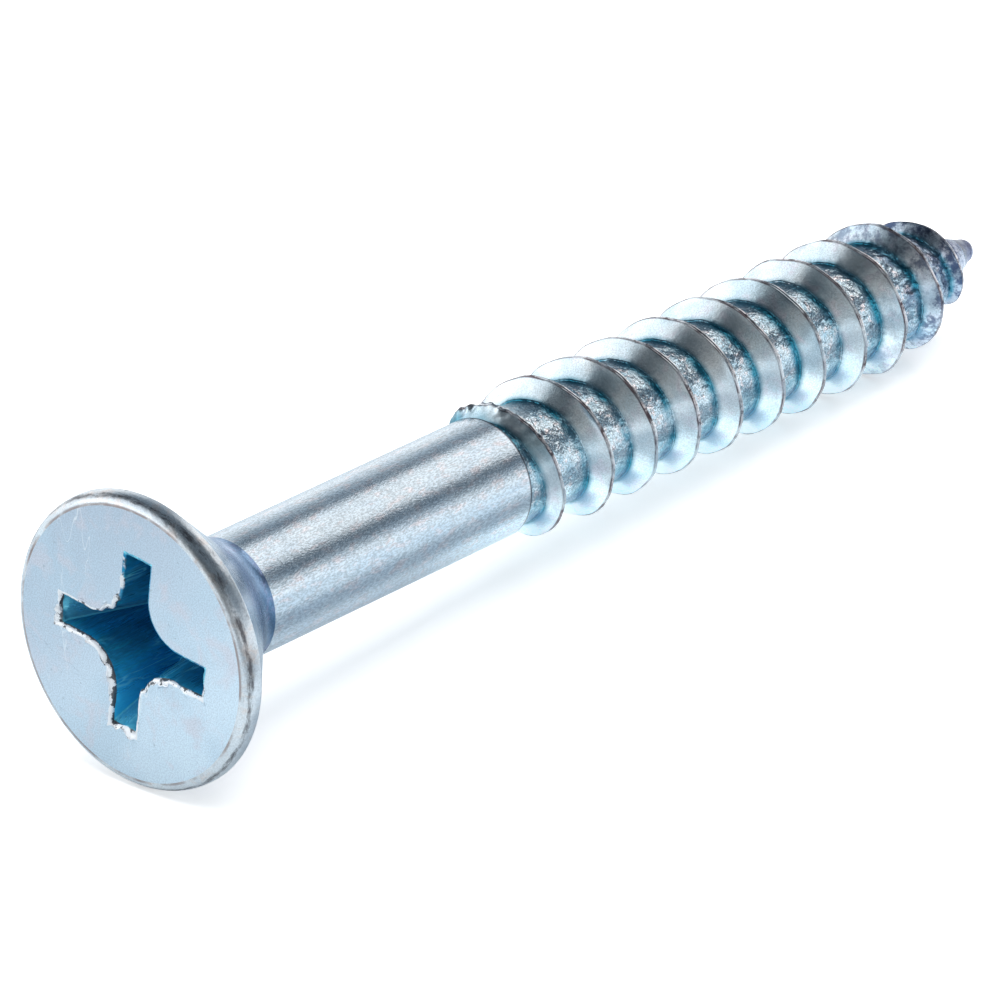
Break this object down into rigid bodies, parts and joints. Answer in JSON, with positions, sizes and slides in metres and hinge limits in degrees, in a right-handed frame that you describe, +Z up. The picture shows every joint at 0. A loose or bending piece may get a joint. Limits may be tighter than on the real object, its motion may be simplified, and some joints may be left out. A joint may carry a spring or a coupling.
{
  "type": "wood screw",
  "caption": "Countersunk wood screw with a flat head, cross recess, plain shank and a coarse right-hand thread that tapers to a blunt nub.",
  "frame": {"origin": "centre of the head's flat face, on the screw's axis, in the mouth of the recess", "axes": "+X along the axis from head to point; the screw lies on its side; +Z up; one wing of the recess points 7.5 degrees from +Z towards -Y"},
  "size_m": [0.0444, 0.0102, 0.0102],
  "materials": {
    "plated_steel": "bright zinc plating with a thin blue passivation, satin shank, galled thread root"
  },
  "bodies": {
    "root": {"screw_body": "plated_steel"}
  },
  "joints": []
}
